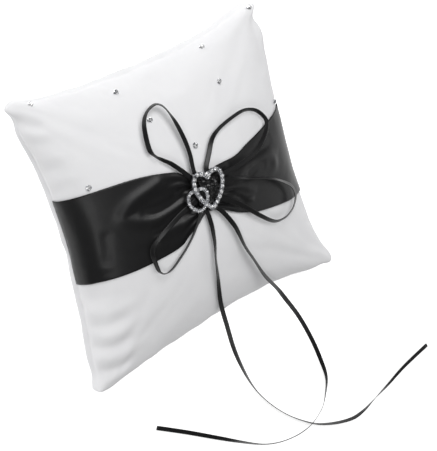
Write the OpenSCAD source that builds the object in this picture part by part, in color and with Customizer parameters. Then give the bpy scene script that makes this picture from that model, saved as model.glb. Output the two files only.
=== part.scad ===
// Ring bearer pillow: a stuffed square cushion lying on its back, with a wide satin band gathered
// under a knot, a bow of narrow ribbon whose two tails fall over one edge, and a double heart brooch.
// The origin is on the table under the middle of the cushion, +Z is up and +Y is the cushion's top.

/* [Cushion] */
// Side of the cushion between its corner tips
side = 200; // [160:5:240]
// How far the middle of each side pulls in from the line between its corners
pull_in = 10.5; // [6:0.5:13]
// Height of the edge seam above the table
seam_z = 25; // [20:1:27]
// Rise of the front above the seam
crown = 36; // [34:0.5:37]
// Drop of the back below the seam, before the table flattens it
belly = 34; // [30:1:38]
// Thickness of the front and back panels
fabric_t = 1; // [0.6:0.1:1.5]

/* [Satin band] */
// Width of the band where it lies flat
band_w = 59; // [50:1:64]
// Width of the band where it is gathered under the knot
gather_w = 28; // [22:1:34]
// Thickness of the band
band_t = 0.8; // [0.4:0.1:1]
// Extra thickness of the pleats under the knot
pleat_t = 1.6; // [0.5:0.1:1.8]

/* [Narrow ribbon] */
// Width of the ribbon that the bow and its tails are made of
ribbon_w = 3.2; // [2.6:0.1:3.4]
// Thickness of that ribbon
ribbon_t = 0.8; // [0.4:0.1:0.9]

/* [Brooch] */
// Width of the large heart along the middle of its row of stones
big_heart_w = 21.8; // [19:0.2:23]
// Height of the large heart along the middle of its row of stones
big_heart_h = 24.6; // [22:0.2:26]
// Width of the small heart along the middle of its row of stones
small_heart_w = 14.8; // [13:0.2:16]
// Height of the small heart along the middle of its row of stones
small_heart_h = 14.2; // [13:0.2:16]
// Width of the metal channel that holds the large heart's stones
channel_w = 3; // [2.6:0.1:3.4]
// Width of the metal channel that holds the small heart's stones
small_channel_w = 2.4; // [2:0.1:2.8]
// Thickness of the metal channel
channel_t = 1.2; // [0.8:0.1:1.4]
// Diameter of a stone in the large heart
big_stone_d = 2.6; // [2:0.1:2.8]
// Diameter of a stone in the small heart
small_stone_d = 2; // [1.6:0.1:2.2]
// Distance between neighbouring stones, as a share of their diameter
stone_pitch = 1.36; // [1.2:0.02:1.6]

/* [Scattered stones] */
// Diameter of a stone on the front of the cushion
front_stone_d = 4; // [3:0.5:5]
// Height of a stone on the front of the cushion
front_stone_h = 1.6; // [1:0.1:2]

/* [Hidden] */

half = side / 2;
clear = 0.4;                    // gap between soft layers that lie on each other
thread_d = 0.5;                 // sewing thread
thread_w = 0.4;                 // width of the row of machine stitches
panel_cells = 32;               // cells along each side of a panel's surface
filling_cells = 22;             // cells along each side of the filling's surface
band_cells = [44, 10];          // cells along and across the band
band_end = 88;                  // angle round the bulge where the band meets the seam
band_y = 3;                     // height of the band's middle line on the left, in plan
band_drop = 6.8;                // how far that line drops on the right
drop_reach = 18;                // and how far from the knot most of the drop is done
open_left = 21;                 // how far from the knot the band has opened, on each side
open_right = 36;
open_power = 1.3;
pleat_reach = 12;               // how far from the knot the pleats have smoothed out
seam_lip = 0.5;                 // half the height of the filling's blunt edge
filling_gap = 1.2;              // room for the seam thread between a panel and the filling

stitch_count = 12;              // slip stitches that close the turning gap
stitch_pitch = 5;
stitch_h = 2.4;

knot_at = [2, 5];               // middle of the knot, in plan
knot_r = [7.5, 9, 1.3];         // half sizes of the knot
knot_z = seam_z + crown + 4.2;  // height of the knot's middle

brooch_z = knot_z + 1.7;        // underside of the metal channel
big_heart_at = [1.9, 6.8];
big_heart_turn = -7;
big_notch = 4;                  // how deep the notch between the large heart's lobes is
small_heart_at = [-8.3, 3.5];
small_heart_turn = -3;
small_notch = 2;                // and between the small heart's
tack_places = [60, 130, 300];   // angles round the large heart where thread holds it

// Places of the scattered stones on the front, in plan
front_stones = [[-80, 92.5], [-27, 84], [46, 88], [94.5, 94.5], [43.5, 65],
                [-16, 62], [6.5, 35.5], [-70, 36.5], [85, 33]];

// Ribbon routes: points along the middle of the ribbon, with the turn of its width about its
// own line in degrees, where 0 lies flat and 90 stands on edge
upper_left_route = [
    [-1, 15.5, 64.8, -10], [-3.5, 21.5, 64.6, -8], [-2, 33, 63.5, -8], [-2, 43, 62.5, -5],
    [-3, 54, 60.5, -18], [-4.5, 62, 58.5, -50], [-6.5, 68, 56.5, -60], [-10, 71, 55.5, -75],
    [-14, 71, 55.5, -82], [-19, 69, 56, -88], [-23, 65, 57, -72], [-25.5, 58, 58, -50],
    [-27, 47, 59.5, -38], [-25.5, 42, 60.5, -75], [-21, 37, 61.5, -52], [-16, 32, 62.5, -38],
    [-8.5, 21, 64.6, -20], [-5, 14, 64.8, -10]];
upper_right_route = [
    [5, 15.5, 64.8, 25], [6.5, 21.5, 64.6, 28], [11.5, 28, 63.5, 26], [18, 36, 62, 8],
    [26, 40, 61, -19], [36, 42, 59.5, -26], [46, 43, 58, -29], [53, 42, 56.5, -45],
    [60, 38.5, 55, -50], [65, 32.5, 54, -58], [66, 27, 54.5, -65], [60, 20.5, 57, -55],
    [47.5, 14, 60.5, -40], [32, 11.5, 63, -20], [19, 11.5, 64.6, -5], [11, 9.5, 64.8, 0]];
lower_left_route = [
    [-6, -3, 64.8, 10], [-13, -12.5, 64.6, 30], [-22, -22, 63.5, 38], [-32, -30, 61.5, 36],
    [-38, -34, 60.2, 42], [-43, -35, 59.5, 65], [-46.5, -32.5, 59.5, 80], [-47.5, -29, 59.5, 62],
    [-48, -24, 60, 56], [-48.5, -19, 60.5, 50], [-47, -14.5, 61.2, 40], [-43, -11, 62.2, 30],
    [-36, -7, 63.5, 20], [-23, -1, 64.8, 10], [-13, 2, 65, 5], [-7, 4, 65, 0]];
lower_right_route = [
    [10.5, 5, 64.8, 0], [19, 6.5, 64.8, 20], [36, 0, 63, 66], [49, -6, 60.5, 78],
    [58, -11, 58, 66], [66, -17, 55.5, 50], [72, -23, 53, 38], [74, -30, 51.5, 34],
    [71, -35.5, 52, 38], [66, -39, 53, 42], [58, -40.5, 55, 48], [48, -38, 58, 46],
    [38, -29.5, 61, 35], [29, -20, 63.5, 20], [21, -11.5, 64.6, 12], [13, -5.5, 64.8, 5],
    [9, -2, 64.8, 0]];
tail_left_route = [
    [5, -7.5, 64.6, 0], [8, -12, 64.6, -12], [11.5, -19, 64.3, -16], [15, -28, 63.5, 6],
    [18.5, -43, 61.5, 34], [24, -56, 58, 40], [32, -73, 51.5, 26], [43.5, -90, 42.5, 20],
    [52, -104, 35, -16], [66, -128, 22, -24], [77, -154, 11.5, -24], [83, -176, 5.5, -12],
    [85, -193, 3, 20], [80, -205, 3.2, 40], [73, -213.5, 4.2, 52], [61, -220, 5, 50],
    [50, -222.5, 4.2, 50], [39, -222.5, 2.8, 56], [27.5, -220, 2, 60], [15.5, -214.5, 1.9, 64],
    [1.5, -205, 1.6, 50], [-16, -192, 1.1, 20], [-38, -175.5, 0.6, 4], [-59, -160.5, 0.6, 0]];
tail_right_route = [
    [-3, -5.5, 64.6, 5], [-2.5, -17, 64.3, 2], [-3.5, -30, 63, 24], [-5.5, -42, 61, 40],
    [-6, -55, 57.5, 22], [-5, -77, 48, -18], [1, -101, 35, -32], [8.5, -126, 20, -10],
    [16, -148, 9, 22], [22, -166, 4, 52], [28, -180, 2.2, 68], [37, -195, 1.8, 76],
    [48, -208.5, 1.8, 82], [63, -222, 1.8, 81], [75, -229, 1.8, 76], [88, -234, 1.8, 70],
    [100, -236.5, 1.8, 70], [111, -235, 1.9, 96], [119, -232.5, 1.8, 118], [137, -227.5, 1.2, 156],
    [157, -221, 0.8, 172], [183, -215, 0.6, 180]];
ribbon_sides = 8;

// ---- Shape of the cushion ----

// A point of the cushion's skin: s and t run from -1 to 1 across it, g grows the skin outwards,
// and rise is the signed height of its middle above the seam
function skin(s, t, g, rise) = [
    s * (half + g - pull_in * (1 - t * t)),
    t * (half + g - pull_in * (1 - s * s)),
    max(0, seam_z + rise * sqrt(max(0, (1 - s * s) * (1 - t * t))))];
function front_skin(s, t, g) = skin(s, t, g, crown + g);
function back_skin(s, t, g) =
    let (p = skin(s, t, g, -belly - g))
    [p.x, p.y, max(-g, p.z)];

// The angles that spread n cells evenly round an elliptical bulge
function spread(n, reach = 90) = [for (i = [0:n]) -reach + 2 * reach * i / n];
function front_grid(n, g, lip = 0) =
    [for (a = spread(n)) [for (b = spread(n)) front_skin(sin(a), sin(b), g) + [0, 0, lip]]];
function back_grid(n, g, lip = 0) =
    [for (a = spread(n)) [for (b = spread(n)) back_skin(sin(a), sin(b), g) - [0, 0, lip]]];

// The outline of the seam, grown by g
function outline(g, n = panel_cells) = [
    for (b = spread(n)) if (b < 90) let (p = skin(1, sin(b), g, 0)) [p.x, p.y],
    for (a = spread(n)) if (a < 90) let (p = skin(-sin(a), 1, g, 0)) [p.x, p.y],
    for (b = spread(n)) if (b < 90) let (p = skin(-1, -sin(b), g, 0)) [p.x, p.y],
    for (a = spread(n)) if (a < 90) let (p = skin(sin(a), -1, g, 0)) [p.x, p.y]];

// s and t of the front at a place in plan, found by repeating the inverse of skin()
function settle(p, st, n) = n == 0 ? st :
    settle(p, [p.x / (half - pull_in * (1 - st.y * st.y)), p.y / (half - pull_in * (1 - st.x * st.x))], n - 1);

// A closed solid between two grids of points of the same size
module slab(low, high) {
    rows = len(low);
    cols = len(low[0]);
    top = rows * cols;
    function at(i, j, base) = base + i * cols + j;
    rim = concat(
        [for (i = [0:rows - 2]) [i, 0]],
        [for (j = [0:cols - 2]) [rows - 1, j]],
        [for (i = [rows - 1:-1:1]) [i, cols - 1]],
        [for (j = [cols - 1:-1:1]) [0, j]]);
    polyhedron(
        points = concat([for (r = low) each r], [for (r = high) each r]),
        faces = concat(
            [for (i = [0:rows - 2]) for (j = [0:cols - 2]) for (half_cell = [0, 1]) half_cell == 0
                ? [at(i, j, 0), at(i + 1, j, 0), at(i + 1, j + 1, 0)]
                : [at(i, j, 0), at(i + 1, j + 1, 0), at(i, j + 1, 0)]],
            [for (i = [0:rows - 2]) for (j = [0:cols - 2]) for (half_cell = [0, 1]) half_cell == 0
                ? [at(i, j, top), at(i + 1, j + 1, top), at(i + 1, j, top)]
                : [at(i, j, top), at(i, j + 1, top), at(i + 1, j + 1, top)]],
            [for (k = [0:len(rim) - 1]) for (half_cell = [0, 1])
                let (p = rim[k], q = rim[(k + 1) % len(rim)])
                half_cell == 0
                    ? [at(p.x, p.y, 0), at(p.x, p.y, top), at(q.x, q.y, top)]
                    : [at(p.x, p.y, 0), at(q.x, q.y, top), at(q.x, q.y, 0)]]));
}

// ---- Ribbons ----

// A smooth curve through a route's points, here between points i and i + 1
function curve_point(route, i, u) =
    let (
        last = len(route) - 1,
        a = route[max(0, i - 1)],
        b = route[i],
        c = route[min(last, i + 1)],
        d = route[min(last, i + 2)])
    0.5 * (2 * b + (c - a) * u + (2 * a - 5 * b + 4 * c - d) * u * u + (3 * b - a - 3 * c + d) * u * u * u);
function smooth_route(route, steps) = [
    for (i = [0:len(route) - 2]) for (k = [0:steps - 1]) curve_point(route, i, k / steps),
    route[len(route) - 1]];
function place(p) = [p[0], p[1], p[2]];
function unit(v) = v / norm(v);

// The ring of points round a ribbon at point i of a smooth route
function ribbon_ring(path, i) =
    let (
        along = unit(place(path[min(len(path) - 1, i + 1)]) - place(path[max(0, i - 1)])),
        across = unit(cross(along, [0, 0, 1])),
        above = cross(across, along),
        turn = path[i][3],
        wide = across * cos(turn) + above * sin(turn),
        thick = above * cos(turn) - across * sin(turn))
    [for (k = [0:ribbon_sides - 1])
        let (a = (k + 0.5) * 360 / ribbon_sides, reach = 1 / cos(180 / ribbon_sides))
        place(path[i]) + wide * cos(a) * reach * ribbon_w / 2 + thick * sin(a) * reach * ribbon_t / 2];

module ribbon(route, steps) {
    path = smooth_route(route, steps);
    rings = len(path);
    n = ribbon_sides;
    polyhedron(
        points = [for (i = [0:rings - 1]) each ribbon_ring(path, i)],
        faces = concat(
            [[for (k = [0:n - 1]) k]],
            [[for (k = [n - 1:-1:0]) (rings - 1) * n + k]],
            [for (i = [0:rings - 2]) for (k = [0:n - 1]) for (half_cell = [0, 1])
                let (a = i * n + k, b = i * n + (k + 1) % n)
                half_cell == 0 ? [a, a + n, b] : [b, a + n, b + n]]));
}

// ---- Hearts ----

// A heart w wide and h high about its own middle, from the notch at 0 round to the tip at 180
function heart(a, w, h, notch) = [
    w * sin(a) * pow(abs(sin(a)), 1.4) / 2,
    h * (13 * cos(a) - notch * cos(2 * a) - 2 * cos(3 * a) + (0.3 + notch) / 2) / (21.7 + notch)];
function heart_step(i, n, w, h, notch) =
    norm(heart((i + 1) * 360 / n, w, h, notch) - heart(i * 360 / n, w, h, notch));
function heart_lengths(w, h, notch, n = 180) = [
    for (i = 0, run = 0; i <= n; run = run + heart_step(i, n, w, h, notch), i = i + 1)
        [run, i * 360 / n]];
function heart_seats(w, h, notch, d) =
    let (
        table = heart_lengths(w, h, notch),
        total = table[len(table) - 1][0],
        count = round(total / (stone_pitch * d)))
    [for (k = [0:count - 1]) heart(lookup((k + 0.5) * total / count, table), w, h, notch)];
function turned(p, a, at) = [p.x * cos(a) - p.y * sin(a), p.x * sin(a) + p.y * cos(a)] + at;
big_seats = [
    for (p = heart_seats(big_heart_w, big_heart_h, big_notch, big_stone_d))
        turned(p, big_heart_turn, big_heart_at)];
// The small heart has no stone where one of the large heart's is in the way
seat_room = (big_stone_d + small_stone_d) / 2 + 0.1;
small_seats = [
    for (p = heart_seats(small_heart_w, small_heart_h, small_notch, small_stone_d))
        let (q = turned(p, small_heart_turn, small_heart_at))
        if (min([for (b = big_seats) norm(b - q)]) > seat_room) q];

module heart_channel(w, h, notch, channel) {
    line = [for (i = [0:71]) heart(i * 5, w, h, notch)];
    difference() {
        offset(r = channel / 2, $fn = 32) polygon(line);
        offset(r = -channel / 2, $fn = 32) polygon(line);
    }
}

// A cut stone on its flat back: d wide at the girdle and h high at the table
module stone(d, h) {
    rotate_extrude($fn = 32)
        polygon([[0, 0], [0.4 * d, 0], [0.5 * d, 0.35 * h], [0.28 * d, h], [0, h]]);
}

// ---- The pieces ----

module front_panel() {
    color("white")
        slab(front_grid(panel_cells, -fabric_t), front_grid(panel_cells, 0));
}

module back_panel() {
    color("whitesmoke")
        slab(back_grid(panel_cells, 0), back_grid(panel_cells, -fabric_t));
}

module fibre_filling() {
    g = -fabric_t - filling_gap;
    color("ivory")
        slab(back_grid(filling_cells, g, seam_lip), front_grid(filling_cells, g, seam_lip));
}

module seam_thread() {
    color("white")
        translate([0, 0, seam_z - thread_w / 2])
            linear_extrude(thread_w)
                difference() {
                    polygon(outline(-fabric_t - clear));
                    polygon(outline(-fabric_t - clear - thread_w));
                }
}

module closing_stitches() {
    color("white")
        for (k = [0:stitch_count - 1]) {
            x = (k - (stitch_count - 1) / 2) * stitch_pitch;
            edge = half - pull_in * (1 - pow(x / half, 2));
            translate([x, -edge - thread_d, seam_z - stitch_h / 2])
                cylinder(d = thread_d, h = stitch_h, $fn = 16);
        }
}

// Half the band's width at x, narrow under the knot and opening faster on the left
function band_half(x) =
    let (reach = x < knot_at.x ? open_left : open_right)
    (band_w - (band_w - gather_w) * exp(-pow(abs(x - knot_at.x) / reach, open_power))) / 2;
// Where the band's middle runs: straight on the left, dropping on the right
function band_middle(x) = band_y - band_drop * (1 - exp(-max(0, x - knot_at.x) / drop_reach));
function band_lift(x) = band_t + pleat_t * exp(-pow((x - knot_at.x) / pleat_reach, 2));

// A point of the band at angle a along it and share v across it, on its upper or lower face
function band_point(a, v, upper) =
    let (
        s = sin(a),
        x = s * (half - pull_in),
        g = clear + (upper ? band_lift(x) : 0),
        y = band_middle(x) + v * band_half(x))
    front_skin(s, y / (half + g - pull_in * (1 - s * s)), g);

module satin_band() {
    along = spread(band_cells[0], band_end);
    across = [for (j = [0:band_cells[1]]) -1 + 2 * j / band_cells[1]];
    color("black")
        slab(
            [for (a = along) [for (v = across) band_point(a, v, false)]],
            [for (a = along) [for (v = across) band_point(a, v, true)]]);
}

module centre_knot() {
    color("black")
        translate([knot_at.x, knot_at.y, knot_z])
            scale(knot_r)
                sphere(r = 1, $fn = 28);
}

module bow_loop_upper_left() {
    color("black") ribbon(upper_left_route, 2);
}

module bow_loop_upper_right() {
    color("black") ribbon(upper_right_route, 2);
}

module bow_loop_lower_left() {
    color("black") ribbon(lower_left_route, 2);
}

module bow_loop_lower_right() {
    color("black") ribbon(lower_right_route, 2);
}

module tail_left() {
    color("black") ribbon(tail_left_route, 3);
}

module tail_right() {
    color("black") ribbon(tail_right_route, 3);
}

// Both hearts are one casting, so their channels join where they cross
module brooch_frame() {
    color("silver")
        translate([0, 0, brooch_z])
            linear_extrude(channel_t) {
                translate(big_heart_at)
                    rotate(big_heart_turn)
                        heart_channel(big_heart_w, big_heart_h, big_notch, channel_w);
                translate(small_heart_at)
                    rotate(small_heart_turn)
                        heart_channel(small_heart_w, small_heart_h, small_notch, small_channel_w);
            }
}

module heart_stones(seats, d) {
    color("azure")
        for (p = seats)
            translate([p.x, p.y, brooch_z + channel_t])
                stone(d, 0.55 * d);
}

module big_heart_stones() {
    heart_stones(big_seats, big_stone_d);
}

module small_heart_stones() {
    heart_stones(small_seats, small_stone_d);
}

// Short posts of thread that hold the large heart down, just outside its channel
module brooch_stitches() {
    post_r = thread_d / 2;
    away = channel_w / 2 + post_r + 0.1;
    color("black")
        for (a = tack_places) {
            before = heart(a - 1, big_heart_w, big_heart_h, big_notch);
            after = heart(a + 1, big_heart_w, big_heart_h, big_notch);
            along = unit(after - before);
            p = (before + after) / 2 + away * [-along.y, along.x];
            q = turned(p, big_heart_turn, big_heart_at);
            translate([q.x, q.y, brooch_z - 0.1])
                cylinder(r = post_r, h = channel_t + 0.1, $fn = 16);
        }
}

// Stone n on the front, flat back against the fabric and square to it
module front_stone(n) {
    at = front_stones[n - 1];
    st = settle(at, at / half, 12);
    step = 0.001;
    p = front_skin(st.x, st.y, 0);
    n_dir = unit(cross(
        front_skin(st.x + step, st.y, 0) - front_skin(st.x - step, st.y, 0),
        front_skin(st.x, st.y + step, 0) - front_skin(st.x, st.y - step, 0)));
    color("azure")
        translate(p + n_dir * 0.1)
            rotate([0, acos(n_dir.z), atan2(n_dir.y, n_dir.x)])
                stone(front_stone_d, front_stone_h);
}

front_panel();
back_panel();
fibre_filling();
seam_thread();
closing_stitches();
satin_band();
centre_knot();
bow_loop_upper_left();
bow_loop_upper_right();
bow_loop_lower_left();
bow_loop_lower_right();
tail_left();
tail_right();
brooch_frame();
brooch_stitches();
big_heart_stones();
small_heart_stones();
front_stone(1);  // front_stone_1
front_stone(2);  // front_stone_2
front_stone(3);  // front_stone_3
front_stone(4);  // front_stone_4
front_stone(5);  // front_stone_5
front_stone(6);  // front_stone_6
front_stone(7);  // front_stone_7
front_stone(8);  // front_stone_8
front_stone(9);  // front_stone_9
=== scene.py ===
import math

import bmesh
import bpy
import numpy as np
from mathutils import Matrix, Quaternion, Vector, noise
from mathutils.bvhtree import BVHTree


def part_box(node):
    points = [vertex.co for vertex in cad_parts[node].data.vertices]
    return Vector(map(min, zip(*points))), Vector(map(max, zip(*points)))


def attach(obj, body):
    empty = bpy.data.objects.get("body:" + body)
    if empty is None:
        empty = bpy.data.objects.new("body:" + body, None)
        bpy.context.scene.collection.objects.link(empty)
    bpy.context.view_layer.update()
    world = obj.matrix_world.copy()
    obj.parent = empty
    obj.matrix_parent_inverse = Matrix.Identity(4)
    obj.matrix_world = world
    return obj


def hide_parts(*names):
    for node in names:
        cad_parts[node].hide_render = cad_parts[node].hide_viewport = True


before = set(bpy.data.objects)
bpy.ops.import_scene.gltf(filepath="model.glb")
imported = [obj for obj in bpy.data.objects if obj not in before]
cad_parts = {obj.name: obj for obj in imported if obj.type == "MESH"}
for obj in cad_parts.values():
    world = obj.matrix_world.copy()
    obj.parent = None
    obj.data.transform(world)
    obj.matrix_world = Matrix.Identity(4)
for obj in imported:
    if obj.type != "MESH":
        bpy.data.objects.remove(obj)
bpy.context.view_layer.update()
scene = bpy.context.scene
scene.view_settings.view_transform = "Standard"
MM = 0.001
# Without a seed, noise_vector takes one from the clock and differs from run to run
noise.seed_set(1)

# ---- Viewpoint ----
# A still camera about a metre above the cushion, behind its upper left corner, rolled so that the
# cushion stands on one corner in view.
aim = Vector((23.2, -35.1, 25)) * MM
camera_turn = math.radians(233.69)
camera_rise = math.radians(56.49)
camera_roll = math.radians(104.36)
camera_distance = 1.071

camera = bpy.data.objects.new("camera", bpy.data.cameras.new("camera"))
scene.collection.objects.link(camera)
scene.camera = camera
camera.data.lens = 123.5
camera.data.clip_start = 0.01
backwards = Vector((math.sin(camera_turn) * math.cos(camera_rise),
                    -math.cos(camera_turn) * math.cos(camera_rise),
                    math.sin(camera_rise)))
camera.location = aim + backwards * camera_distance
facing = backwards.to_track_quat("Z", "Y")
camera.rotation_mode = "QUATERNION"
camera.rotation_quaternion = facing @ Quaternion((0, 0, 1), camera_roll)

# ---- Bow loops and tails ----
# One narrow double-faced satin ribbon, polyester, 3.2 mm wide and a third of a millimetre thick.
# It is tied in a four-loop bow over the gathered band; the two tails run over the lower edge of
# the cushion and lie on the table, and their ends are cut square.
ribbon_width = 3.2 * MM
ribbon_thickness = 0.34 * MM
ribbon_steps = 6
ribbon_strands = 6
ribbon_routes = {
    "bow_loop_upper_left": [
        (-1, 15.5, 64.8, -10), (-3.5, 21.5, 64.6, -8), (-2, 33, 63.5, -8), (-2, 43, 62.5, -5),
        (-3, 54, 60.5, -18), (-4.5, 62, 58.5, -50), (-6.5, 68, 56.5, -60), (-10, 71, 55.5, -75),
        (-14, 71, 55.5, -82), (-19, 69, 56, -88), (-23, 65, 57, -72), (-25.5, 58, 58, -50),
        (-27, 47, 59.5, -38), (-25.5, 42, 60.5, -75), (-21, 37, 61.5, -52), (-16, 32, 62.5, -38),
        (-8.5, 21, 64.6, -20), (-5, 14, 64.8, -10)],
    "bow_loop_upper_right": [
        (5, 15.5, 64.8, 25), (6.5, 21.5, 64.6, 28), (11.5, 28, 63.5, 26), (18, 36, 62, 8),
        (26, 40, 61, -19), (36, 42, 59.5, -26), (46, 43, 58, -29), (53, 42, 56.5, -45),
        (60, 38.5, 55, -50), (65, 32.5, 54, -58), (66, 27, 54.5, -65), (60, 20.5, 57, -55),
        (47.5, 14, 60.5, -40), (32, 11.5, 63, -20), (19, 11.5, 64.6, -5), (11, 9.5, 64.8, 0)],
    "bow_loop_lower_left": [
        (-6, -3, 64.8, 10), (-13, -12.5, 64.6, 30), (-22, -22, 63.5, 38), (-32, -30, 61.5, 36),
        (-38, -34, 60.2, 42), (-43, -35, 59.5, 65), (-46.5, -32.5, 59.5, 80), (-47.5, -29, 59.5, 62),
        (-48, -24, 60, 56), (-48.5, -19, 60.5, 50), (-47, -14.5, 61.2, 40), (-43, -11, 62.2, 30),
        (-36, -7, 63.5, 20), (-23, -1, 64.8, 10), (-13, 2, 65, 5), (-7, 4, 65, 0)],
    "bow_loop_lower_right": [
        (10.5, 5, 64.8, 0), (19, 6.5, 64.8, 20), (36, 0, 63, 66), (49, -6, 60.5, 78),
        (58, -11, 58, 66), (66, -17, 55.5, 50), (72, -23, 53, 38), (74, -30, 51.5, 34),
        (71, -35.5, 52, 38), (66, -39, 53, 42), (58, -40.5, 55, 48), (48, -38, 58, 46),
        (38, -29.5, 61, 35), (29, -20, 63.5, 20), (21, -11.5, 64.6, 12), (13, -5.5, 64.8, 5),
        (9, -2, 64.8, 0)],
    "tail_left": [
        (5, -7.5, 64.6, 0), (8, -12, 64.6, -12), (11.5, -19, 64.3, -16), (15, -28, 63.5, 6),
        (18.5, -43, 61.5, 34), (24, -56, 58, 40), (32, -73, 51.5, 26), (43.5, -90, 42.5, 20),
        (52, -104, 35, -16), (66, -128, 22, -24), (77, -154, 11.5, -24), (83, -176, 5.5, -12),
        (85, -193, 3, 20), (80, -205, 3.2, 40), (73, -213.5, 4.2, 52), (61, -220, 5, 50),
        (50, -222.5, 4.2, 50), (39, -222.5, 2.8, 56), (27.5, -220, 2, 60), (15.5, -214.5, 1.9, 64),
        (1.5, -205, 1.6, 50), (-16, -192, 1.1, 20), (-38, -175.5, 0.6, 4), (-59, -160.5, 0.6, 0)],
    "tail_right": [
        (-3, -5.5, 64.6, 5), (-2.5, -17, 64.3, 2), (-3.5, -30, 63, 24), (-5.5, -42, 61, 40),
        (-6, -55, 57.5, 22), (-5, -77, 48, -18), (1, -101, 35, -32), (8.5, -126, 20, -10),
        (16, -148, 9, 22), (22, -166, 4, 52), (28, -180, 2.2, 68), (37, -195, 1.8, 76),
        (48, -208.5, 1.8, 82), (63, -222, 1.8, 81), (75, -229, 1.8, 76), (88, -234, 1.8, 70),
        (100, -236.5, 1.8, 70), (111, -235, 1.9, 96), (119, -232.5, 1.8, 118), (137, -227.5, 1.2, 156),
        (157, -221, 0.8, 172), (183, -215, 0.6, 180)],
}


def linear(code):
    """The linear colour of an sRGB hex value."""
    channels = [int(code[i:i + 2], 16) / 255 for i in (1, 3, 5)]
    return [c / 12.92 if c <= 0.04045 else ((c + 0.055) / 1.055) ** 2.4 for c in channels] + [1]


def add(material, kind, inputs=None, **settings):
    """Adds one shader node: its settings by name, its inputs as values or other nodes' outputs."""
    shader_node = material.node_tree.nodes.new(kind)
    for name, value in settings.items():
        setattr(shader_node, name, value)
    for name, value in (inputs or {}).items():
        if isinstance(value, bpy.types.NodeSocket):
            material.node_tree.links.new(value, shader_node.inputs[name])
        else:
            shader_node.inputs[name].default_value = value
    return shader_node


def new_material(name):
    """An empty material and its output node."""
    material = bpy.data.materials.new(name)
    material.use_nodes = True
    material.node_tree.nodes.clear()
    return material, material.node_tree.nodes.new("ShaderNodeOutputMaterial")


def finish_material(material, output, shader):
    """Joins the finished shader to the material's output."""
    material.node_tree.links.new(shader.outputs["BSDF"], output.inputs["Surface"])


def two_tones(material, share, first, second):
    """A mix of two sRGB hex colours by a share, as an output."""
    tone = add(material, "ShaderNodeMix", {"Factor": share}, data_type="RGBA")
    tone.inputs[6].default_value = linear(first)
    tone.inputs[7].default_value = linear(second)
    return tone.outputs[2]


def changed_copy(material, name, kind, values):
    """A copy of a material, with new values on the inputs of its nodes of one kind."""
    copied = material.copy()
    copied.name = name
    for shader_node in copied.node_tree.nodes:
        if shader_node.bl_idname == kind:
            for socket, value in values.items():
                shader_node.inputs[socket].default_value = value
    return copied


def band_scale(period):
    """The Scale that gives a wave texture's bands this period."""
    return math.pi / (10 * period)


def smooth_line(points, steps):
    """Points along the smooth curve through the given ones, as rows of an array."""
    rows = np.array(points, float)
    padded = np.vstack([rows[:1], rows, rows[-1:]])
    line = []
    for i in range(len(rows) - 1):
        a, b, c, d = padded[i:i + 4]
        for k in range(steps):
            u = k / steps
            line.append(0.5 * (2 * b + (c - a) * u + (2 * a - 5 * b + 4 * c - d) * u ** 2
                               + (3 * b - a - 3 * c + d) * u ** 3))
    return np.array(line + [rows[-1]])


def ribbon_rows(line, width, strands):
    """Points across a ribbon at each place on its line, whose fourth column turns its width."""
    rows = []
    for i, (*place, turn) in enumerate(line):
        before, after = line[max(0, i - 1)], line[min(len(line) - 1, i + 1)]
        along = Vector(after[:3] - before[:3]).normalized()
        across = along.cross(Vector((0, 0, 1))).normalized()
        above = across.cross(along)
        angle = math.radians(turn)
        wide = across * math.cos(angle) + above * math.sin(angle)
        rows.append([Vector(place) * MM + wide * width * (k / strands - 0.5)
                     for k in range(strands + 1)])
    return rows


def woven_grid(name, grids):
    """Sheets through rows of points, as one piece. Each grid is its rows, flat length and flat width,
    and the map's u and v are metres along and across it."""
    bm = bmesh.new()
    weave = bm.loops.layers.uv.new("weave")
    for rows, flat_length, flat_width in grids:
        lines = [[bm.verts.new(point) for point in row] for row in rows]
        last, edge = len(lines) - 1, len(lines[0]) - 1
        for i in range(last):
            for j in range(edge):
                cell = ((i, j), (i + 1, j), (i + 1, j + 1), (i, j + 1))
                face = bm.faces.new([lines[a][b] for a, b in cell])
                face.smooth = True
                for loop, (a, b) in zip(face.loops, cell):
                    loop[weave].uv = (flat_length * a / last, flat_width * b / edge)
    return new_piece(name, bm)


def new_piece(name, bm):
    """An object at the origin that holds the finished mesh."""
    mesh = bpy.data.meshes.new(name)
    bm.to_mesh(mesh)
    bm.free()
    piece = bpy.data.objects.new(name, mesh)
    scene.collection.objects.link(piece)
    return piece


# Polyester satin ribbon, woven with a glossy float face: near black, with a broad soft shine that
# runs across the ribbon, and fine ribs from its weft, drawn coarser than life so that they show.
narrow_satin, out = new_material("narrow_black_satin")
rib_pitch = 0.9 * MM
cloth_map = add(narrow_satin, "ShaderNodeUVMap", uv_map="weave")
ribs = add(narrow_satin, "ShaderNodeTexWave",
           {"Vector": cloth_map.outputs["UV"], "Scale": band_scale(rib_pitch),
            "Distortion": 0.4}, bands_direction="X")
wear = add(narrow_satin, "ShaderNodeTexNoise", {"Vector": cloth_map.outputs["UV"], "Scale": 180})
tone = two_tones(narrow_satin, wear.outputs["Fac"], "#0C0C0D", "#151516")
relief = add(narrow_satin, "ShaderNodeBump",
             {"Height": ribs.outputs["Fac"], "Strength": 0.25, "Distance": 0.04 * MM})
finish_material(narrow_satin, out, add(
    narrow_satin, "ShaderNodeBsdfPrincipled",
    {"Base Color": tone, "Roughness": 0.34, "Anisotropic": 0.4, "Specular IOR Level": 0.33,
     "Sheen Weight": 0.04, "Sheen Roughness": 0.4, "Normal": relief.outputs["Normal"]}))

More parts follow.
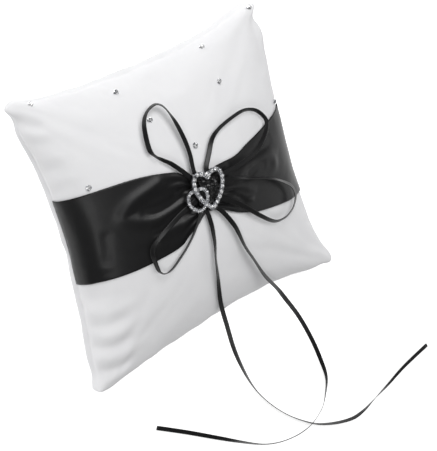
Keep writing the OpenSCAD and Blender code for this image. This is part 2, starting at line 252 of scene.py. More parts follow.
for ribbon_name, route in ribbon_routes.items():
    line = smooth_line(route, ribbon_steps)
    length = float(np.linalg.norm(np.diff(line[:, :3], axis=0), axis=1).sum()) * MM
    ribbon = woven_grid("ribbon_" + ribbon_name,
                        [(ribbon_rows(line, ribbon_width, ribbon_strands), length, ribbon_width)])
    body = ribbon.modifiers.new("thickness", "SOLIDIFY")
    body.thickness = ribbon_thickness
    body.offset = 0
    ribbon.data.materials.append(narrow_satin)
    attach(ribbon, "root")
    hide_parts(ribbon_name)

# ---- Cover ----
# Two squares of white satin-faced taffeta, polyester, sewn together round the edge and turned, so
# that the stuffing crowns it, the sides pull in and the corners stand out as ears. The panels
# pucker along the seam, and the back lies flat on the table.
front_low, front_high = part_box("front_panel")
half = front_high.x
seam_z = front_low.z
crown_z = front_high.z
belly = 34 * MM
cells = 84
cut_half = 106 * MM
groove = 0.5 * MM
# How far each side pulls in, in mm: at its middle, more towards its upper or right end, and at the
# neck of the ear at its lower or left end and at its upper or right end
sides = {"left": (11.9, 3.8, 2.0, 3.5), "right": (9.1, -3.0, -1.7, 6.0),
         "bottom": (8.2, 4.7, -0.8, 2.6), "top": (9.4, 1.5, -2.8, 1.1)}
# Each ear, as its side in x and in y: how far it is drawn out and raised in mm, how full it is, and
# how far its tip is rounded off
ears = {(-1, -1): (4.3, -1.9, 0.29, 1.9), (1, -1): (2.1, 7.0, 0.23, 9.1),
        (-1, 1): (5.1, 2.5, 0.07, 5.4), (1, 1): (7.2, -7.0, 0.34, 8.7)}
# How closely each of those four keeps to its own ear, as a power
ear_powers = (4, 8, 2, 2)
neck_at, neck_width = 0.9, 0.07
back_bulge = 2.4 * MM
bulge_depth = 6 * MM
# The band holds the front smooth within this reach of its middle line. The share of the puckers
# that the stuffing flattens: on the front, how much more under the band, on the back and seam, and
# at the corners
band_y, band_reach = 4 * MM, 32 * MM
held_front, held_band, held_back, held_corners = 0.65, 0.3, 0.6, 0.9
blow_frames = 30
# Soft folds in the cover: where each runs in plan, its width and its height, in mm
cover_folds = [
    ([(-97, 90), (-90, 86), (-80, 80)], 3.5, -1.4),
    ([(-96, 97), (-88, 92), (-82, 86)], 2.6, 0.9),
    ([(-93, 84), (-87, 80), (-80, 79)], 2.6, 0.8),
    ([(-96, 76), (-88, 73), (-78, 71)], 3.0, -0.9),
    ([(-94, 64), (-86, 62), (-74, 61)], 3.0, 0.8),
    ([(-94, 55), (-88, 54), (-80, 54)], 2.6, -0.7),
    ([(-93, 46), (-86, 45), (-70, 47)], 3.0, 0.6),
    ([(-92, -36), (-84, -38), (-70, -37)], 3.0, -0.5),
    ([(-92, -46), (-84, -48), (-74, -48), (-62, -45)], 3.2, 0.9),
    ([(-93, -56), (-84, -57), (-70, -55)], 3.0, -1.0),
    ([(-94, -63), (-84, -65), (-74, -63), (-62, -56)], 3.4, 1.3),
    ([(-95, -71), (-84, -73), (-70, -70)], 3.0, -1.2),
    ([(-96, -79), (-84, -81), (-72, -79), (-60, -74)], 3.4, 1.1),
    ([(-97, -87), (-86, -89), (-72, -86)], 3.0, -1.2),
    ([(-98, -95), (-88, -95), (-76, -92)], 3.0, 0.9),
    ([(91, 90), (89, 80), (89, 70), (86, 61), (81, 54)], 5.0, -1.7),
    ([(92, -84), (84, -76), (74, -70)], 4.0, -0.4),
]

# How far round the bulge, as an angle, a point is that lies at a share of the cut square
edge_slope, bend_3, bend_5 = 0.725, 0.095, 0.18


def bulge_angle(share):
    """The angle round the bulge at a share of the cut square."""
    return math.pi / 2 * (edge_slope * share + bend_3 * share ** 3 + bend_5 * share ** 5)


def side_pull(side, along):
    """How far a side pulls in, in mm, at a place from -1 to 1 along it."""
    middle, lean, low_neck, high_neck = sides[side]
    return (middle * (1 - along ** 2) + 1.5 * lean * along * (1 - along ** 2)
            + low_neck * np.exp(-((along + neck_at) / neck_width) ** 2)
            + high_neck * np.exp(-((along - neck_at) / neck_width) ** 2))


def cushion_form(u, v, side, inset=0.0):
    """Places on the stuffed form for shares u and v of the cut square, on its front or back."""
    s, t = np.sin(bulge_angle(u)), np.sin(bulge_angle(v))
    near = {(i, j): (1 + i * s) * (1 + j * t) / 4 for i, j in ears}
    drawn, raised, full, blunt = (sum(near[ear] ** power * ears[ear][k] for ear in ears)
                                  for k, power in enumerate(ear_powers))
    corner = (s * t) ** 2
    rise = np.where(side >= 0, crown_z - seam_z, belly) - inset
    lift = rise * np.maximum(0, (1 - s * s) * (1 - t * t)) ** (0.5 - full * corner)
    tip = 1 + (drawn * corner ** 2 - blunt * corner ** 10) * MM / half
    x = tip * s * (half - inset - MM * np.where(s < 0, side_pull("left", t), side_pull("right", t)))
    y = tip * t * (half - inset - MM * np.where(t < 0, side_pull("bottom", s), side_pull("top", s)))
    in_x, in_y = ((1 - abs(w)) * cut_half / bulge_depth for w in (u, v))
    out = np.where(side < 0, back_bulge * (1 - corner ** 3), 0)
    return np.stack([x + np.sign(u) * out * in_x * np.exp(1 - in_x),
                     y + np.sign(v) * out * in_y * np.exp(1 - in_y),
                     seam_z + raised * MM + np.sign(side) * lift], axis=-1)


def fold_height(x, y, route, width, height):
    """The height in mm that a fold gives at places x and y, from the distance to its line."""
    line = smooth_line(route, 5)
    nearest = np.full(x.shape, 1e9)
    share = np.zeros(x.shape)
    for i in range(len(line) - 1):
        ax, ay = line[i]
        bx, by = line[i + 1]
        run = (bx - ax) ** 2 + (by - ay) ** 2
        k = np.clip(((x - ax) * (bx - ax) + (y - ay) * (by - ay)) / run, 0, 1)
        distance = np.hypot(x - ax - k * (bx - ax), y - ay - k * (by - ay))
        closer = distance < nearest
        nearest = np.where(closer, distance, nearest)
        share = np.where(closer, (i + k) / (len(line) - 1), share)
    taper = np.clip(4 * (1 - share), 0, 1)
    return height * taper * np.exp(-(nearest / width) ** 2)


def envelope(name, count, size):
    """Two flat squares joined along their edges, one just above the other."""
    bm = bmesh.new()
    gap = 1.5 * MM
    bmesh.ops.create_grid(bm, x_segments=count, y_segments=count, size=size,
                          matrix=Matrix.Translation((0, 0, gap)))
    bmesh.ops.create_grid(bm, x_segments=count, y_segments=count, size=size,
                          matrix=Matrix.Translation((0, 0, -gap)))
    bmesh.ops.reverse_faces(bm, faces=[f for f in bm.faces if f.calc_center_median().z < 0])
    for vert in bm.verts:
        if max(abs(vert.co.x), abs(vert.co.y)) > size - gap / 10:
            vert.co.z = 0
    bmesh.ops.remove_doubles(bm, verts=bm.verts, dist=gap / 100)
    weave = bm.loops.layers.uv.new("weave")
    for face in bm.faces:
        face.smooth = True
        for loop in face.loops:
            loop[weave].uv = (loop.vert.co.x, loop.vert.co.y)
    return new_piece(name, bm)


def mesh_points(mesh):
    """The places of a mesh's points, as rows of an array."""
    points = np.zeros(len(mesh.vertices) * 3)
    mesh.vertices.foreach_get("co", points)
    return points.reshape(-1, 3)


def inflate(piece, frames):
    """Blows the sewn squares up as cloth, and returns where each point ends."""
    for vert in piece.data.vertices:
        if vert.co.z != 0:
            room = (1 - (vert.co.x / cut_half) ** 2) * (1 - (vert.co.y / cut_half) ** 2)
            uneven = 0.35 * MM * noise.noise(vert.co * 90)
            vert.co.z += math.copysign(4 * MM * room, vert.co.z) + uneven
    cloth = piece.modifiers.new("stuffing", "CLOTH")
    fabric = cloth.settings
    fabric.quality = 6
    fabric.mass = 0.15
    fabric.tension_stiffness = 15
    fabric.compression_stiffness = 15
    fabric.shear_stiffness = 4.5
    fabric.bending_stiffness = 0.5
    fabric.tension_damping = 5
    fabric.compression_damping = 5
    fabric.shear_damping = 5
    fabric.bending_damping = 0.5
    fabric.air_damping = 2
    fabric.use_pressure = True
    fabric.uniform_pressure_force = 6
    fabric.effector_weights.gravity = 0
    cloth.collision_settings.use_collision = False
    cloth.collision_settings.use_self_collision = False
    cloth.point_cache.frame_start = 1
    cloth.point_cache.frame_end = frames
    for number in range(1, frames + 1):
        scene.frame_set(number)
    settled = piece.evaluated_get(bpy.context.evaluated_depsgraph_get())
    points = mesh_points(settled.data)
    piece.modifiers.clear()
    return points


def puckers(points, u, v, side):
    """What is left of a blown-up form when its smooth shape is taken away: folds and puckers."""
    powers = range(7)
    terms = np.stack([u ** i * v ** j for i in powers for j in powers], axis=-1)
    sealed = terms * ((1 - u * u) * (1 - v * v))[:, None]
    rest = points.copy()
    rest[:, :2] -= terms @ np.linalg.lstsq(terms, points[:, :2], rcond=None)[0]
    height = points[:, 2] * side
    off_seam = side != 0
    fit = np.linalg.lstsq(sealed[off_seam], height[off_seam], rcond=None)[0]
    rest[:, 2] -= side * (sealed @ fit)
    return rest


cover = envelope("cushion_cover", cells, cut_half)
flat_points = mesh_points(cover.data)
cover_u, cover_v = flat_points[:, 0] / cut_half, flat_points[:, 1] / cut_half
cover_side = np.sign(np.round(flat_points[:, 2], 6))
cover_points = cushion_form(cover_u, cover_v, cover_side)
folds = puckers(inflate(cover, blow_frames), cover_u, cover_v, cover_side)
at_corners = (cover_u * cover_v) ** 2
under_band = np.exp(-((cover_points[:, 1] - band_y) / band_reach) ** 4)
held = np.where(cover_side > 0, held_front + held_band * under_band, held_back)
cover_points += folds * ((1 - held_corners * at_corners) * (1 - held))[:, None]
on_front = cover_side > 0
for route, width, height in cover_folds:
    cover_points[on_front, 2] += MM * fold_height(
        cover_points[on_front, 0] / MM, cover_points[on_front, 1] / MM, route, width, height)

# The seam sinks between the two panels, and the back lies flat where it touches the table
on_seam = cover_side == 0
seam_plan = cover_points[on_seam][:, :2]
cover_points[on_seam, :2] -= groove * (seam_plan / np.linalg.norm(seam_plan, axis=1)[:, None])
cover_points[:, 2] = np.maximum(0, cover_points[:, 2])
cover.data.vertices.foreach_set("co", cover_points.ravel())
cover.data.update()

bm = bmesh.new()
bm.from_mesh(cover.data)
crease = bm.edges.layers.float.new("crease_edge")
for edge in bm.edges:
    if all(on_seam[vert.index] for vert in edge.verts):
        edge[crease] = 1.0
cover_tree = BVHTree.FromBMesh(bm)
bm.to_mesh(cover.data)
bm.free()
soft = cover.modifiers.new("soft", "SUBSURF")
soft.levels = soft.render_levels = 1

# White taffeta with a satin face, matte enough to show a soft even white: its threads cross every
# half millimetre, drawn coarser than life, and the cloth is faintly uneven between them.
cover_cloth, out = new_material("white_taffeta")
thread_pitch = 0.5 * MM
cloth_map = add(cover_cloth, "ShaderNodeUVMap", uv_map="weave")
warp, weft = (add(cover_cloth, "ShaderNodeTexWave",
                  {"Vector": cloth_map.outputs["UV"], "Scale": band_scale(thread_pitch),
                   "Distortion": 0.3}, bands_direction=direction) for direction in "XY")
crossing = add(cover_cloth, "ShaderNodeMath", {0: warp.outputs["Fac"], 1: weft.outputs["Fac"]},
               operation="MULTIPLY")
uneven = add(cover_cloth, "ShaderNodeTexNoise",
             {"Vector": cloth_map.outputs["UV"], "Scale": 60, "Detail": 4})
tone = two_tones(cover_cloth, uneven.outputs["Fac"], "#E6E6E8", "#EEEEEF")
relief = add(cover_cloth, "ShaderNodeBump",
             {"Height": crossing.outputs[0], "Strength": 0.2, "Distance": 0.05 * MM})
broad = add(cover_cloth, "ShaderNodeBump",
            {"Height": uneven.outputs["Fac"], "Strength": 0.3, "Distance": 0.5 * MM,
             "Normal": relief.outputs["Normal"]})
finish_material(cover_cloth, out, add(
    cover_cloth, "ShaderNodeBsdfPrincipled",
    {"Base Color": tone, "Roughness": 0.62, "Sheen Weight": 0.02, "Sheen Roughness": 0.5,
     "Specular IOR Level": 0.22, "Normal": broad.outputs["Normal"]}))
cover.data.materials.append(cover_cloth)
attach(cover, "root")
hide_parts("front_panel", "back_panel")

# ---- Stuffing ----
# Loose polyester fibre, pushed in through the gap in the lower seam. It fills the cover and is
# lumpy where the handfuls lie against each other.
stuffing_inset = 5 * MM
lump = 1.2 * MM
lumps_a_metre = 70
stuffing_cells = 40
stuffing = envelope("polyester_stuffing", stuffing_cells, cut_half)
flat_points = mesh_points(stuffing.data)
stuffing_side = np.sign(np.round(flat_points[:, 2], 6))
stuffing_points = cushion_form(flat_points[:, 0] / cut_half, flat_points[:, 1] / cut_half,
                               stuffing_side, stuffing_inset)
for point in stuffing_points:
    point += lump * np.array(noise.noise_vector(Vector(point) * lumps_a_metre))
stuffing_points[:, 2] = np.maximum(stuffing_inset / 2, stuffing_points[:, 2])
stuffing.data.vertices.foreach_set("co", stuffing_points.ravel())

# Bright white crimped fibre, matte, with its tufts in relief and a soft haze of loose ends
fibre, out = new_material("polyester_fibre")
place = add(fibre, "ShaderNodeTexCoord")
tufts = add(fibre, "ShaderNodeTexNoise",
            {"Vector": place.outputs["Object"], "Scale": 400, "Detail": 6})
tone = two_tones(fibre, tufts.outputs["Fac"], "#E9E7E2", "#F7F6F3")
relief = add(fibre, "ShaderNodeBump",
             {"Height": tufts.outputs["Fac"], "Strength": 0.6, "Distance": 1 * MM})
finish_material(fibre, out, add(
    fibre, "ShaderNodeBsdfPrincipled",
    {"Base Color": tone, "Roughness": 0.95, "Sheen Weight": 0.4,
     "Normal": relief.outputs["Normal"]}))
stuffing.data.materials.append(fibre)
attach(stuffing, "root")
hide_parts("fibre_filling")

# ---- Satin band ----
# One length of 60 mm black satin ribbon, polyester, laid across the front with both ends sewn
# into the side seams and gathered in the middle by the knot, so that pleats run out from it.
band_flat = (60 * MM, 224 * MM)
band_cells = (168, 64)
band_thickness = 0.34 * MM
# The upper and lower edges in plan, from the left seam to the right one
band_upper = [(-100, 32), (-90, 32.5), (-71, 33), (-41, 31.7), (-17, 26.3), (-9, 21), (-2, 17.5),
              (7, 16.5), (15.5, 17.8), (32, 17.6), (44, 20.4), (62, 24), (88, 29), (100, 30)]
band_lower = [(-100, -26), (-90, -26.5), (-63, -26.7), (-47, -25.7), (-27, -22.9), (-19, -18.2),
              (-11, -14), (-4, -9), (4, -9), (11, -12.3), (22, -19.4), (32, -24), (39, -26.5),
              (62, -31.9), (76, -34.2), (100, -36)]
# Folds that stand proud of the band or sink into it: where each runs in plan, its width and height
band_folds = [
    ([(-5, 13), (-15, 11), (-25, 8), (-36, 6.5), (-46, 9)], 3.2, -1.6),
    ([(-28, 23), (-42, 20), (-50, 17), (-56, 11), (-51, 6), (-40, 2.5), (-28, 3), (-14, 6)], 4.2, 1.3),
    ([(-4, -2), (-13, -1.5), (-26, -3), (-37, -6), (-44, -5)], 3.0, -1.3),
    ([(-20, -8), (-32, -9), (-38, -14), (-37, -20)], 3.4, 0.9),
    ([(-78, 31), (-75, 14), (-76, -3), (-78, -22)], 7.0, 0.6),
    ([(-70, 2), (-72, -8), (-75, -18)], 3.2, -0.5),
    ([(26, 14), (45, 12.5), (58, 13), (68, 17)], 3.6, -1.0),
    ([(28, 17), (41, 15), (53, 11), (64, 6), (72, 2)], 3.2, 0.5),
    ([(30, 4), (39, 8), (48, 6), (57, 6), (64, 1), (63, -5), (55, -8)], 3.4, 0.8),
    ([(40, 1), (48, 3.5), (56, 0)], 2.6, -0.9),
    ([(12, -3), (19, -4), (25, -9), (31, -15)], 1.7, -1.4),
    ([(10, -7), (18, -10), (25, -17), (32, -23)], 1.7, -1.3),
    ([(22, -6), (30, -13), (38, -16)], 1.8, 0.9),
    ([(12, 1), (22, 0), (32, -5), (42, -12)], 3.2, 0.9),
]
# Heights above the cover, in mm: the band's own, how much more in the gather, the pleats', the least
# and the most of all together, and at the side seams. Reaches are from the knot, along the band.
band_height, gather_height, pleat_height = 0.7, 1.5, 0.8
band_lowest, band_highest, end_height = 0.5, 2.9, 0.3
gather_x, gather_reach, pleat_reach = 2, 26, 17
pleat_count = 3.5
end_slope = 12
solving_steps = 5

share_table = np.linspace(-1, 1, 801)
angle_table = bulge_angle(share_table)
upper_line, lower_line = smooth_line(band_upper, 8), smooth_line(band_lower, 8)
band_u = np.linspace(-1, 1, band_cells[0] + 1)
band_v = np.linspace(-1, 1, band_cells[1] + 1)
run_u, run_v = np.meshgrid(band_u, band_v, indexing="ij")
run_s = np.sin(bulge_angle(run_u))
run_t = np.zeros(run_s.shape)
# Where the band lies depends on how far the sides pull in there, so the places are found in turns
for _ in range(solving_steps):
    pull_x = np.where(run_s < 0, side_pull("left", run_t), side_pull("right", run_t))
    pull_y = np.where(run_t < 0, side_pull("bottom", run_s), side_pull("top", run_s))
    run_x = run_s * (half / MM - pull_x)
    top_y = np.interp(run_x, upper_line[:, 0], upper_line[:, 1])
    low_y = np.interp(run_x, lower_line[:, 0], lower_line[:, 1])
    run_y = (top_y + low_y) / 2 + run_v * (top_y - low_y) / 2
    run_t = run_y / (half / MM - pull_y)
seat_v = np.interp(np.arcsin(run_t), angle_table, share_table)
from_knot = np.abs(run_x - gather_x)
lift = band_height + gather_height * np.exp(-(from_knot / gather_reach) ** 2)
for route, width, height in band_folds:
    lift += fold_height(run_x, run_y, route, width, height)
lift += (pleat_height * np.cos(2 * math.pi * pleat_count * run_v)
         * np.exp(-(from_knot / pleat_reach) ** 2))
off_ends = np.clip((1 - np.abs(run_u)) * end_slope, 0, 1)
lift = off_ends * np.clip(lift, band_lowest, band_highest) + (1 - off_ends) * end_height
seats = cushion_form(run_u, seat_v, np.ones(run_u.shape))
rows = []
for i in range(band_cells[0] + 1):
    row = []
    for j in range(band_cells[1] + 1):
        spot, normal = cover_tree.find_nearest(Vector(seats[i, j]))[:2]
        row.append(spot + normal * (lift[i, j] * MM))
    rows.append(row)
band = woven_grid("satin_ribbon_band", [(rows, band_flat[1], band_flat[0])])
body = band.modifiers.new("thickness", "SOLIDIFY")
body.thickness = band_thickness
body.offset = 1
# The same satin as the narrow ribbon's, a little less glossy over its wider face
wide_satin = changed_copy(narrow_satin, "wide_black_satin", "ShaderNodeBsdfPrincipled",
                          {"Roughness": 0.38})
band.data.materials.append(wide_satin)
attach(band, "root")
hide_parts("satin_band")

# ---- Seam thread ----
# White polyester sewing thread. The machine seam runs round inside the edge, and a dozen slip
# stitches by hand close the gap in the lower side that the stuffing went in through.
thread_d = 0.4 * MM
seam_depth = 2 * MM
stitch_pitch = 5 * MM
stitch_lean = 0.9 * MM
stitch_half = 1.1 * MM
stitches = 12
# One slip stitch: shares of its lean and height, and how far each point of it stands off the seam
stitch_bow = ((-1, 0.3 * MM), (-0.5, -0.9 * MM), (0, -1 * MM), (0.5, -0.9 * MM), (1, 0.3 * MM))


def thread_run(bm, points, diameter, closed=False):
    """A round thread through the points, as a ring of eight at each, joined in turn."""
    count, sides = len(points), 8
    rings = []
    for i, point in enumerate(points):
        before = points[i - 1] if closed or i else point
        after = points[(i + 1) % count] if closed or i < count - 1 else point
        facing_along = (after - before).to_track_quat("Z", "Y").to_matrix().to_4x4()
        stand = Matrix.Translation(point) @ facing_along
        made = bmesh.ops.create_circle(bm, cap_ends=not closed and i in (0, count - 1),
                                       segments=sides, radius=diameter / 2, matrix=stand)
        rings.append(made["verts"])
    for i in range(count if closed else count - 1):
        a, b = rings[i], rings[(i + 1) % count]
        for k in range(sides):
            bm.faces.new((a[k], a[(k + 1) % sides], b[(k + 1) % sides], b[k])).smooth = True
    bmesh.ops.recalc_face_normals(bm, faces=bm.faces)


# White sewing thread, softly glossy, with the twist of its plies in relief
white_thread, out = new_material("white_polyester_thread")
place = add(white_thread, "ShaderNodeTexCoord")
ply = add(white_thread, "ShaderNodeTexNoise", {"Vector": place.outputs["Object"], "Scale": 2500})
tone = two_tones(white_thread, ply.outputs["Fac"], "#DCDCDD", "#F2F2F2")
relief = add(white_thread, "ShaderNodeBump",
             {"Height": ply.outputs["Fac"], "Strength": 0.4, "Distance": 0.1 * MM})
finish_material(white_thread, out, add(
    white_thread, "ShaderNodeBsdfPrincipled",
    {"Base Color": tone, "Roughness": 0.5, "Normal": relief.outputs["Normal"]}))

ring = cover_points[on_seam]
ring = ring[np.argsort(np.arctan2(ring[:, 1], ring[:, 0]))]
bm = bmesh.new()
thread_run(bm, [Vector((x, y, z)) - Vector((x, y, 0)).normalized() * seam_depth
                for x, y, z in ring], thread_d, closed=True)
machine_seam = new_piece("machine_seam_thread", bm)
lower_ring = ring[ring[:, 1] < 0]
lower_ring = lower_ring[np.argsort(lower_ring[:, 0])]
bm = bmesh.new()
for k in range(stitches):
    x = (k - (stitches - 1) / 2) * stitch_pitch
    y = np.interp(x, lower_ring[:, 0], lower_ring[:, 1])
    z = np.interp(x, lower_ring[:, 0], lower_ring[:, 2])
    thread_run(bm, [Vector((x + lean * stitch_lean, y + bow, z + lean * stitch_half))
                    for lean, bow in stitch_bow], thread_d)
slip_stitches = new_piece("slip_stitches", bm)
for piece, stood_for in ((machine_seam, "seam_thread"), (slip_stitches, "closing_stitches")):
    piece.data.materials.append(white_thread)
    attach(piece, "root")
    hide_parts(stood_for)

# ---- Knot ----
# Black satin ribbon, a little wider than the bow's, wound over the gather in crossing turns and
# pulled tight, so that it is creased all over; the bow comes out of it and the brooch sits on top.

# In mm: the ribbon's width, the length of each turn, where the turns start above the table, and how
# far the ribbon is crinkled
knot_width = 4.6
turn_length = 18
knot_foot = 63.6
crinkle = 0.8
# How full a turn's arch is, how many half twists it has, and how close its big and small creases are
arch, half_twists, big_creases, small_creases = 0.6, 2.5, 0.45, 420
turn_steps, turn_smoothing, turn_strands = 14, 3, 8
# Each turn: where it starts and ends in plan and how high its middle stands, in mm, and its lean
knot_turns = [
    ((-5.5, -3), (-3, 13), 66.3, 20), ((-2.5, -5), (-1, 14.5), 66.7, -25), ((1, -5), (1.5, 15), 67, 15),
    ((4.5, -5), (5, 14.5), 66.8, -20), ((8.5, -2), (7.5, 13), 66.3, 25),
    ((-5, 9), (10, 1), 67.3, -15), ((-4, 2), (9, 10.5), 67.1, 30), ((-1, 12), (8, 5), 67.6, -35)]
knot_grids = []
for start, end, high, lean in knot_turns:
    line = []
    for k in range(turn_steps + 1):
        share = k / turn_steps
        x = start[0] + (end[0] - start[0]) * share
        y = start[1] + (end[1] - start[1]) * share
        rise = math.sin(math.pi * share) ** arch
        spot = Vector((x, y, knot_foot + (high - knot_foot) * rise))
        shift = noise.noise_vector(spot * big_creases) * crinkle
        line.append((*(spot + shift), lean * math.cos(half_twists * math.pi * share)))
    rows = ribbon_rows(smooth_line(line, turn_smoothing), knot_width * MM, turn_strands)
    for row in rows:
        for point in row:
            point.z += noise.noise(point * small_creases) * crinkle * MM
    knot_grids.append((rows, turn_length * MM, knot_width * MM))
knot = woven_grid("ribbon_knot", knot_grids)
body = knot.modifiers.new("thickness", "SOLIDIFY")
body.thickness = 0.25 * MM
body.offset = 0
# The crushed ribbon shows its gloss in small sharp glints
crushed_satin = changed_copy(narrow_satin, "crushed_black_satin", "ShaderNodeBsdfPrincipled",
                             {"Roughness": 0.17})
knot.data.materials.append(crushed_satin)
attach(knot, "root")
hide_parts("centre_knot")

# ---- Brooch ----
# A double heart cast in zinc alloy and plated bright, with a row of foil-backed glass stones, each
# held by four small claws. Black thread round the casting ties it to the knot.

# Bright plating over cast zinc, polished, with the casting's faint unevenness under it
bright_plate, out = new_material("bright_plated_zinc")
place = add(bright_plate, "ShaderNodeTexCoord")
casting = add(bright_plate, "ShaderNodeTexNoise", {"Vector": place.outputs["Object"], "Scale": 900})
roughness = add(bright_plate, "ShaderNodeMapRange",
                {"Value": casting.outputs["Fac"], "To Min": 0.12, "To Max": 0.28})
relief = add(bright_plate, "ShaderNodeBump",
             {"Height": casting.outputs["Fac"], "Strength": 0.25, "Distance": 0.1 * MM})
finish_material(bright_plate, out, add(
    bright_plate, "ShaderNodeBsdfPrincipled",
    {"Base Color": linear("#D6D7DA"), "Metallic": 1.0, "Roughness": roughness.outputs["Result"],
     "Normal": relief.outputs["Normal"]}))
brooch_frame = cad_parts["brooch_frame"]
brooch_frame.data.materials.clear()
brooch_frame.data.materials.append(bright_plate)

# Foil-backed lead-free crystal, cut in facets and polished, under a clear glossy coat. Its glints are
# painted: small random cells are painted bright or dark, and the stone glows faintly in that painted
# tone.
crystal, out = new_material("crystal_with_painted_glints")
place = add(crystal, "ShaderNodeTexCoord")
# Painted glints: random cells about a facet across, each painted bright or dark
painted_glint_cells = add(crystal, "ShaderNodeTexVoronoi", {"Vector": place.outputs["Object"], "Scale": 1100})
split = add(crystal, "ShaderNodeSeparateColor", {"Color": painted_glint_cells.outputs["Color"]})
painted_glint_share = add(crystal, "ShaderNodeMapRange",
             {"Value": split.outputs["Red"], "From Min": 0.3, "From Max": 0.6})
tone = two_tones(crystal, painted_glint_share.outputs["Result"], "#6E7176", "#FFFFFF")
# The emission is a painted glow: the stone gives off faint light in its painted glint tone, though it
# is no lamp
finish_material(crystal, out, add(
    crystal, "ShaderNodeBsdfPrincipled",
    {"Base Color": tone, "Metallic": 0.75, "Roughness": 0.06, "Coat Weight": 1.0,
     "Coat Roughness": 0.02, "Emission Color": tone, "Emission Strength": 0.22}))


# The corners of a cut stone, from its flat back to its table: each ring's radius as a share of the
# diameter, its level as a share of the height, and its twist as a share of a facet
cut_rings = ((0.42, 0, 0), (0.5, 0.28, 0), (0.41, 0.66, 0.5), (0.26, 1, 0))


def loose_parts(node):
    """The middle and the width of each loose part of a CAD node, and its lowest and highest z."""
    bm = bmesh.new()
    bm.from_mesh(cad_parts[node].data)
    bmesh.ops.remove_doubles(bm, verts=bm.verts, dist=0.001 * MM)
    left, parts = set(bm.verts), []
    while left:
        part, edge = set(), [left.pop()]
        while edge:
            vert = edge.pop()
            part.add(vert)
            near = {link.other_vert(vert) for link in vert.link_edges} & left
            left -= near
            edge += near
        points = np.array([vert.co for vert in part])
        low, high = points.min(0), points.max(0)
        parts.append((Vector((low + high) / 2), float(high[0] - low[0]), float(low[2]), float(high[2])))
    bm.free()
    return sorted(parts, key=lambda part: tuple(part[0]))


def cut_stone(bm, seat, axis, diameter, height, turn):
    """A faceted stone on its flat back: rings of eight corners under one hull."""
    stand = (Matrix.Translation(seat) @ axis.to_track_quat("Z", "Y").to_matrix().to_4x4()
             @ Matrix.Rotation(turn, 4, "Z"))
    corners = []
    for radius, level, twist in cut_rings:
        made = bmesh.ops.create_circle(
            bm, segments=8, radius=radius * diameter,
            matrix=stand @ Matrix.Translation((0, 0, level * height))
            @ Matrix.Rotation(twist * math.pi / 4, 4, "Z"))
        corners += made["verts"]
    bmesh.ops.convex_hull(bm, input=corners)


claw_r = 0.3 * MM
claw_stretch = 1.6
# The metal cup and claws, as shares of a stone's width and height: the cup's foot, rim, depth and
# middle level, how far out the claws stand and at what level, and how far the stones lean
cup_foot, cup_rim, cup_depth, cup_level = 0.47, 0.53, 0.35, 0.16
claw_out, claw_level = 0.5, 0.375
stone_lean = 0.16
# How far each stone and its claws are turned from the one before, as angles
stone_turn, claw_turn = 0.7, 0.35
for node, piece_name in (("big_heart_stones", "large_heart"), ("small_heart_stones", "small_heart")):
    stones, claws = bmesh.new(), bmesh.new()
    for number, (middle, width, low, high) in enumerate(loose_parts(node)):
        seat = Vector((middle.x, middle.y, low))
        lean = noise.noise_vector(middle * 400) * stone_lean
        cut_stone(stones, seat, (Vector((0, 0, 1)) + lean).normalized(), width, high - low,
                  stone_turn * number)
        bmesh.ops.create_cone(
            claws, cap_ends=True, segments=16, radius1=cup_foot * width, radius2=cup_rim * width,
            depth=cup_depth * (high - low),
            matrix=Matrix.Translation(seat + Vector((0, 0, cup_level * (high - low)))))
        for quarter in range(4):
            angle = math.pi / 4 + quarter * math.pi / 2 + claw_turn * number
            foot = seat + Vector((math.cos(angle), math.sin(angle), 0)) * (claw_out * width)
            bmesh.ops.create_icosphere(
                claws, subdivisions=1, radius=claw_r,
                matrix=Matrix.Translation(foot + Vector((0, 0, claw_level * (high - low))))
                @ Matrix.Diagonal((1, 1, claw_stretch, 1)))
    for piece, metal, slot in ((new_piece(piece_name + "_crystals", stones), crystal, "clear_stones"),
                               (new_piece(piece_name + "_claws", claws), bright_plate, "brooch_metal")):
        piece.data.materials.append(metal)
        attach(piece, "root")
    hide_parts(node)

# Black polyester thread, tied over the casting between two stones
black_thread = changed_copy(white_thread, "black_polyester_thread", "ShaderNodeMix",
                            {6: linear("#0E0E0F"), 7: linear("#1B1B1D")})
# The loop of a tie: how far across the casting in mm, and how high as a share of its thickness
tie_loop = ((-1.8, -0.3), (-1.8, 0.6), (-1.2, 1.15), (0, 1.25), (1.2, 1.15), (1.8, 0.6), (1.8, -0.3))
seats = [Vector((middle.x, middle.y, low))
         for middle, width, low, high in loose_parts("big_heart_stones")]
channel_low, channel_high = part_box("brooch_frame")
top = channel_high.z - channel_low.z
bm = bmesh.new()
for middle, *_ in loose_parts("brooch_stitches"):
    near = sorted(seats, key=lambda seat: (seat.xy - middle.xy).length)[:2]
    over = (near[0] + near[1]) / 2
    across = (near[1] - near[0]).cross(Vector((0, 0, 1))).normalized()
    foot = Vector((over.x, over.y, channel_low.z))
    thread_run(bm, [foot + across * (reach * MM) + Vector((0, 0, up * top))
                    for reach, up in tie_loop], thread_d)
ties = new_piece("brooch_tie_thread", bm)
ties.data.materials.append(black_thread)
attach(ties, "root")
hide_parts("brooch_stitches")

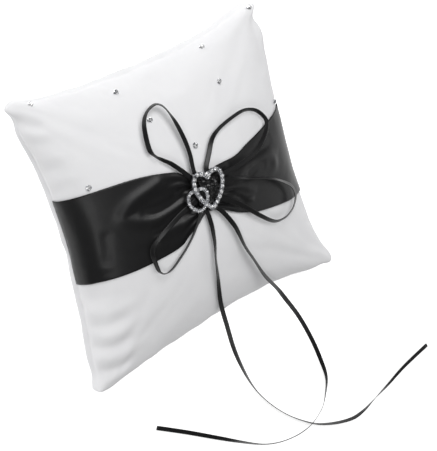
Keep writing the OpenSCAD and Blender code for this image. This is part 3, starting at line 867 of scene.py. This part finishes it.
# ---- Scattered stones ----
# Nine flat-backed crystals of the same kind, 4.3 mm across, glued one by one to the front. The two
# on the ears sit a little further out, as the ears are drawn out here.
ear_shift = {1: (-2.8, 5.4, 0), 4: (-1.5, 2.8, 0)}
front_stones = 9
front_stone_d = 4.3 * MM
front_stone_h = 1.8 * MM
front_stone_turn = 0.9
for number in range(1, front_stones + 1):
    node = "front_stone_%d" % number
    low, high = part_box(node)
    middle = (low + high) / 2 + Vector(ear_shift.get(number, (0, 0, 0))) * MM
    spot, normal = cover_tree.find_nearest(middle)[:2]
    bm = bmesh.new()
    cut_stone(bm, spot, normal, front_stone_d, front_stone_h, front_stone_turn * number)
    piece = new_piece("scattered_crystal_%d" % number, bm)
    piece.data.materials.append(crystal)
    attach(piece, "root")
    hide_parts(node)

# ---- Floor and light ----
# A white table top that spreads light of its own, a large soft lamp above the upper side of the
# cushion, a small one on the left that draws the sheen of the band, a weak one low on the right,
# and an even pale room.
table_drop = 1 * MM
table_half = 3
bm = bmesh.new()
bmesh.ops.create_grid(bm, x_segments=1, y_segments=1, size=table_half,
                      matrix=Matrix.Translation((0, 0, -table_drop)))
table = new_piece("table_top", bm)
# White laminate, matte, that gives off an even light so that nothing on it throws a dark shadow
white_top, out = new_material("white_laminate")
finish_material(white_top, out, add(
    white_top, "ShaderNodeBsdfPrincipled",
    {"Base Color": linear("#F2F2F2"), "Roughness": 0.8, "Emission Color": linear("#FFFFFF"),
     "Emission Strength": 0.66}))
table.data.materials.append(white_top)

# Each lamp's place and width in metres, and its power in watts
lamps = {
    "large_soft_lamp": ((-0.04, 0.72, 1.15), 0.9, 13.2),
    "small_low_lamp": ((-0.74, -0.2, 1.0), 0.25, 1.6),
    "right_soft_lamp": ((0.9, -0.33, 0.45), 0.7, 1.1),
}
for lamp_name, (place, size, power) in lamps.items():
    lamp = bpy.data.objects.new(lamp_name, bpy.data.lights.new(lamp_name, "AREA"))
    scene.collection.objects.link(lamp)
    lamp.data.energy = power
    lamp.data.size = size
    lamp.location = place
    lamp.rotation_mode = "QUATERNION"
    lamp.rotation_quaternion = (lamp.location - aim).to_track_quat("Z", "Y")
room = bpy.data.worlds.new("room")
scene.world = room
room.use_nodes = True
backdrop = room.node_tree.nodes["Background"]
backdrop.inputs["Color"].default_value = (1, 1, 1, 1)
backdrop.inputs["Strength"].default_value = 0.2
